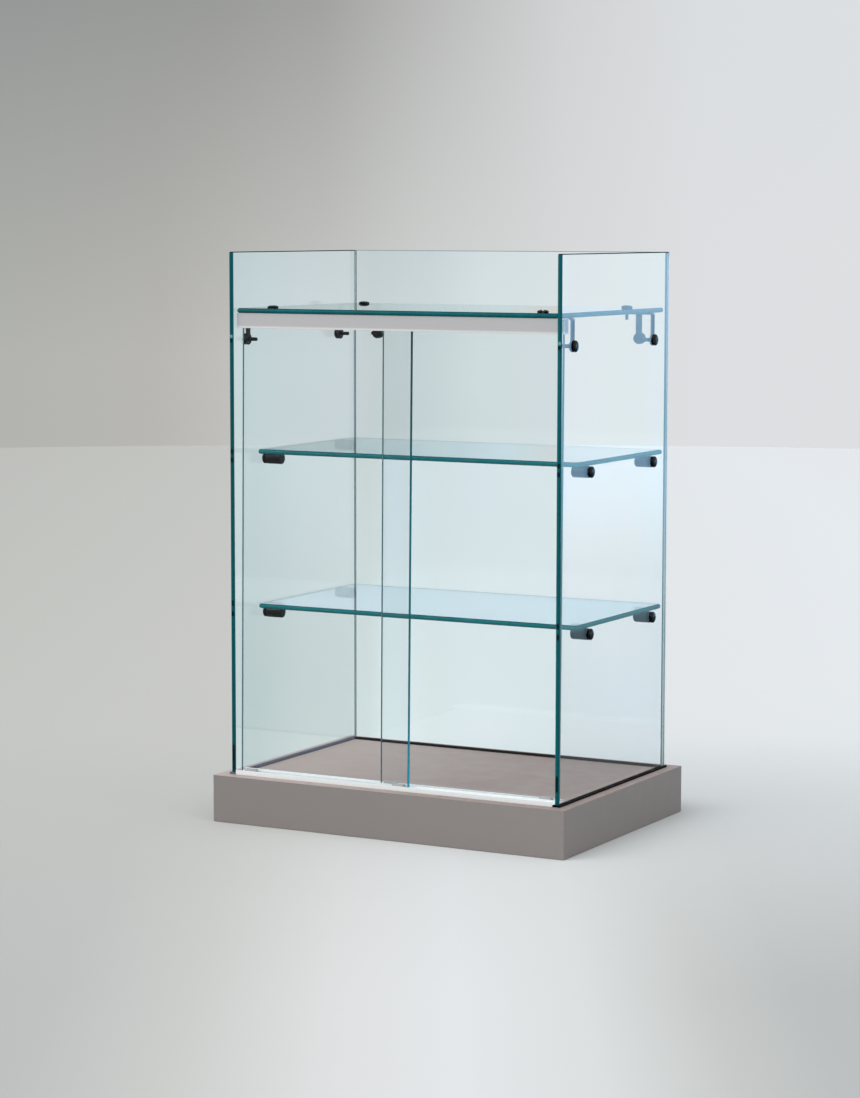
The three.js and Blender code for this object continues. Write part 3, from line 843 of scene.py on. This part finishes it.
def floor_material():
    """The floor; toward its rim it clears into the backdrop, except straight behind the showcase."""
    s = Shader("floor")
    spot = s.node("NewGeometry").outputs["Position"]
    across = s.dot(spot, VIEW_RIGHT)
    # Painted light and shade: near the showcase the floor is lightest in the middle and darker to the sides;
    # farther off it is darker to the left.
    far = s.scaled_ramp(across, [
        (-1.5, rgb(189, 189, 185)), (-0.9, rgb(192, 193, 189)), (-0.3, rgb(198, 198, 195)),
        (0.3, rgb(221, 224, 226)), (1.0, rgb(224, 228, 231)), (1.5, rgb(224, 227, 230))])
    near = s.scaled_ramp(across, [
        (-0.6, rgb(184, 186, 185)), (-0.4, rgb(187, 189, 188)), (-0.26, rgb(199, 201, 198)),
        (-0.13, rgb(216, 217, 217)), (0.0, rgb(222, 224, 226)), (0.13, rgb(213, 216, 216)),
        (0.25, rgb(193, 195, 193)), (0.34, rgb(183, 186, 186)), (0.6, rgb(176, 180, 181))])
    colour = s.mix_colour(along(s, spot, AHEAD, -0.9, 0.6), near, far)
    colour = s.mix_colour(along(s, spot, AHEAD, -1.8, -3.2), colour, rgb(206, 208, 209))

    # Seen through glass, it is brighter by a painted lift, standing in for the glass's reflections, fitted
    # column by column across the view.
    view = s.node("VectorMath", {0: spot, 1: CAMERA_AT}, operation="SUBTRACT").outputs[0]
    column = s.math("DIVIDE", s.dot(view, VIEW_RIGHT), s.dot(view, AHEAD))
    far_lift = s.scaled_ramp(column, [
        (-0.1, PLAIN_LIFT), (-0.058, (0.57, 0.65, 0.69)), (-0.043, (0.62, 0.69, 0.73)),
        (-0.028, (0.65, 0.71, 0.74)), (-0.022, (0.6, 0.65, 0.66)), (-0.017, (0.6, 0.65, 0.66)),
        (-0.013, (0.64, 0.73, 0.77)), (0, (0.59, 0.65, 0.67)), (0.017, (0.58, 0.62, 0.64)),
        (0.041, (0.55, 0.59, 0.59)), (0.046, (0.61, 0.58, 0.56)), (0.065, (0.61, 0.57, 0.53)),
        (0.1, PLAIN_LIFT)])
    near_lift = s.scaled_ramp(column, [
        (-0.1, PLAIN_LIFT), (-0.058, (0.54, 0.63, 0.65)), (-0.043, (0.59, 0.66, 0.67)),
        (-0.02, (0.59, 0.65, 0.66)), (-0.013, (0.67, 0.74, 0.76)), (0, (0.62, 0.67, 0.68)),
        (0.017, (0.61, 0.65, 0.67)), (0.041, (0.56, 0.6, 0.61)), (0.046, (0.58, 0.61, 0.62)),
        (0.065, (0.59, 0.61, 0.63)), (0.1, PLAIN_LIFT)])
    lift = s.mix_colour(along(s, spot, AHEAD, 1.0, 3.4), near_lift, far_lift)
    lifted = s.multiply(s.multiply(colour, lift), TWICE)
    path = s.node("LightPath")
    behind_glass = s.math("GREATER_THAN", path.outputs["Transmission Depth"], 0.5)
    seen = s.mix_colour(behind_glass, colour, lifted)
    plain = s.node("BsdfDiffuse", {"Color": seen, "Roughness": 0.5})

    # Mirrored in glass, also fitted: dark toward the front and bluer off to the side.
    mirror_place = s.dot(spot, MIRRORED)
    front = [(-6, (0.07, 0.075, 0.08)), (-0.7, (0.07, 0.07, 0.07)), (0.3, (0.09, 0.09, 0.09))]
    first_face = s.scaled_ramp(mirror_place, [*front, (2.0, (0.15, 0.28, 0.36)), (6, (0.42, 0.81, 1.2))])
    later_face = s.scaled_ramp(mirror_place, [*front, (2.0, (0.12, 0.14, 0.15)), (6, (0.24, 0.31, 0.33))])
    inside = s.math("GREATER_THAN", path.outputs["Transmission Depth"], 1.5)
    mirrored = s.mix_colour(inside, first_face, later_face)
    glow = s.node("Emission", {"Color": mirrored, "Strength": MIRROR_STRENGTH})
    bounced = s.math("GREATER_THAN", path.outputs["Glossy Depth"], 0.5)
    lit = s.mix_shader(bounced, plain, glow)

    radius = s.node("VectorMath", {0: spot}, operation="LENGTH").outputs["Value"]
    rim = s.map_range(radius, 3.0, 6.4)
    beside = s.map_range(s.math("ABSOLUTE", across), 1.6, 2.6)
    open_air = s.math("MULTIPLY", rim, s.math("MAXIMUM", beside, along(s, spot, AHEAD, 0.5, -0.5)))
    return s.surface(s.mix_shader(open_air, lit, s.node("BsdfTransparent")))


def sky_material():
    """The backdrop: one look seen straight, one through glass, one in a mirror, and a plain fill."""
    s = Shader("studio", world=True)
    aim = s.node("TexCoord").outputs["Generated"]
    across, rise, aside = (s.dot(aim, way) for way in (VIEW_RIGHT, UP, MIRRORED))
    path = s.node("LightPath")
    depth = path.outputs["Transmission Depth"]
    # Painted light and shade: the backdrop is darker to the left and lighter to the right.
    upper = s.scaled_ramp(across, [
        (-0.4, rgb(186, 188, 186)), (-0.14, rgb(150, 153, 152)), (-0.07, rgb(155, 156, 154)),
        (-0.035, rgb(163, 164, 162)), (0.0, rgb(185, 186, 185)), (0.043, rgb(209, 210, 211)),
        (0.09, rgb(219, 222, 225)), (0.2, rgb(222, 226, 228))])
    lower = s.scaled_ramp(across, [
        (-0.4, rgb(186, 188, 186)), (-0.14, rgb(179, 180, 175)), (-0.09, rgb(184, 183, 179)),
        (-0.07, rgb(191, 190, 186)), (0.0, rgb(212, 214, 213)), (0.09, rgb(222, 223, 226)),
        (0.2, rgb(222, 223, 225))])
    seen = s.mix_colour(s.map_range(rise, -0.045, 0.07), lower, upper)

    # Seen through glass: brighter by a fitted, painted lift standing in for the glass's reflections, held
    # back high on the right, under mirror images.
    lift = s.scaled_ramp(across, [
        (-0.1, PLAIN_LIFT), (-0.058, (0.58, 0.67, 0.71)), (-0.043, (0.59, 0.64, 0.68)),
        (-0.028, (0.58, 0.62, 0.65)), (-0.019, (0.53, 0.58, 0.6)), (0, (0.52, 0.57, 0.59)),
        (0.017, (0.56, 0.61, 0.62)), (0.041, (0.56, 0.6, 0.61)), (0.046, (0.62, 0.56, 0.5)),
        (0.061, (0.61, 0.55, 0.47)), (0.07, (0.6, 0.54, 0.46)), (0.11, PLAIN_LIFT)])
    high_up = s.map_range(rise, -0.06, -0.03)
    to_right = s.map_range(across, 0.041, 0.045)
    held_back = s.multiply(lift, (0.92, 0.875, 0.79, 1))
    lift = s.mix_colour(s.math("MULTIPLY", high_up, to_right), lift, held_back)
    one_pane = s.math("LESS_THAN", depth, 2.5)
    lift = s.mix_colour(s.math("MULTIPLY", one_pane, to_right), lift, (*PLAIN_LIFT, 1))
    lifted = s.multiply(s.multiply(seen, lift), TWICE)

    # Mirrored in glass, also fitted: bluer off to the side in a pane's first face, pale in the lying plates.
    front = [(-1, (0.07, 0.075, 0.08)), (-0.7, (0.07, 0.075, 0.08)), (-0.2, (0.12, 0.13, 0.135))]
    first_face = s.scaled_ramp(aside, [
        *front, (0.3, (0.22, 0.24, 0.25)), (0.93, (0.32, 0.48, 0.58)), (0.98, (0.42, 0.81, 1.2)),
        (1, (0.42, 0.81, 1.2))])
    first_face = s.mix_colour(high_up, first_face, s.multiply(first_face, (1.5, 1.36, 1.35, 1)))
    later_face = s.scaled_ramp(aside, [
        *front, (0.3, (0.20, 0.22, 0.23)), (0.7, (0.22, 0.26, 0.28)), (1, (0.24, 0.31, 0.33))])
    share = s.scaled_ramp(rise, [
        (0.03, (0.56, 0.64, 0.66)), (0.075, (0.61, 0.74, 0.79)), (0.13, (0.66, 0.82, 0.88))])
    warmer = s.multiply(share, (1.05, 0.84, 0.75, 1))
    share = s.mix_colour(s.map_range(across, 0.025, 0.045), share, warmer)
    plates = s.multiply(seen, share)
    plates = s.mix_colour(s.map_range(rise, 0.085, 0.125), plates, (0.375, 0.465, 0.52, 1))
    round_about = s.mix_colour(s.math("GREATER_THAN", depth, 1.5), first_face, later_face)
    round_about = s.mix_colour(s.map_range(rise, 0.03, 0.08), round_about, (0.33, 0.36, 0.37, 1))
    to_wall = s.grey_ramp(along(s, aim, AHEAD, -1, 1), 0.9, 0.97)
    mirrored = s.mix_colour(to_wall, round_about, plates)
    mirrored = s.mix_colour(s.map_range(rise, 0.3, 0.6), mirrored, (0.42, 0.43, 0.45, 1))

    shown = s.mix_colour(s.math("GREATER_THAN", depth, 0.5), seen, lifted)
    seen_light = s.node("Background", {"Color": shown, "Strength": 1.0})
    mirror_light = s.node("Background", {"Color": mirrored, "Strength": MIRROR_STRENGTH})
    fill_light = s.node("Background", {"Color": (0.97, 0.985, 1.0, 1), "Strength": 0.8})
    light = s.mix_shader(path.outputs["Is Diffuse Ray"], seen_light, fill_light)
    bounced = s.math("GREATER_THAN", path.outputs["Glossy Depth"], 0.5)
    return s.surface(s.mix_shader(bounced, light, mirror_light))


MIRROR_STRENGTH = 2.0
FLOOR_RADIUS = 6.6
bm = bmesh.new()
bmesh.ops.create_circle(bm, cap_ends=True, segments=128, radius=FLOOR_RADIUS)
floor_mesh = bpy.data.meshes.new("floor")
bm.to_mesh(floor_mesh)
bm.free()
floor_mesh.materials.append(floor_material())
floor = bpy.data.objects.new("floor", floor_mesh)
bpy.context.scene.collection.objects.link(floor)
floor.rotation_euler.z = YAW
floor.location.z = -0.5 * MM
bpy.context.scene.world = sky_material()


def aimed(name, lamp, at):
    """Hangs a lamp at a place, turned to the showcase and hidden from the camera."""
    hung = bpy.data.objects.new(name, lamp)
    bpy.context.scene.collection.objects.link(hung)
    hung.location = at
    hung.rotation_euler = (Vector((0, 0, 0.3)) - Vector(at)).to_track_quat("-Z", "Y").to_euler()
    hung.visible_camera = False
    return hung


key = bpy.data.lights.new("key", "SUN")
key.angle = math.radians(50)
key.energy = 1.05
key.color = (1.0, 0.985, 0.97)
aimed("key", key, (-1.4, -2.4, 3.4)).visible_glossy = False
for name, at, size in (("strip_left", (-1.6, -1.6, 1.6), 0.5), ("strip_right", (2.6, -0.9, 1.8), 0.4)):
    strip = bpy.data.lights.new(name, "AREA")
    strip.shape = "SQUARE"
    strip.size = size
    strip.energy = 3.0
    strip.color = (1.0, 0.97, 0.93)
    aimed(name, strip, at)


# ---- Camera ----

lens = bpy.data.cameras.new("camera")
lens.lens = LENS
lens.sensor_width = 36
lens.clip_start, lens.clip_end = 0.05, 60
camera = bpy.data.objects.new("camera", lens)
bpy.context.scene.collection.objects.link(camera)
ahead = AHEAD * math.cos(PITCH) - UP * math.sin(PITCH)
above = VIEW_RIGHT.cross(ahead)
right = VIEW_RIGHT * math.cos(ROLL) + above * math.sin(ROLL)
up = above * math.cos(ROLL) - VIEW_RIGHT * math.sin(ROLL)
camera.matrix_world = Matrix.Translation(CAMERA_AT) @ Matrix((right, up, -ahead)).transposed().to_4x4()
bpy.context.scene.camera = camera

bpy.context.scene.view_settings.view_transform = "Standard"
cycles = bpy.context.scene.cycles
cycles.max_bounces = 32
cycles.glossy_bounces = 6
cycles.transmission_bounces = 28
cycles.transparent_max_bounces = 48
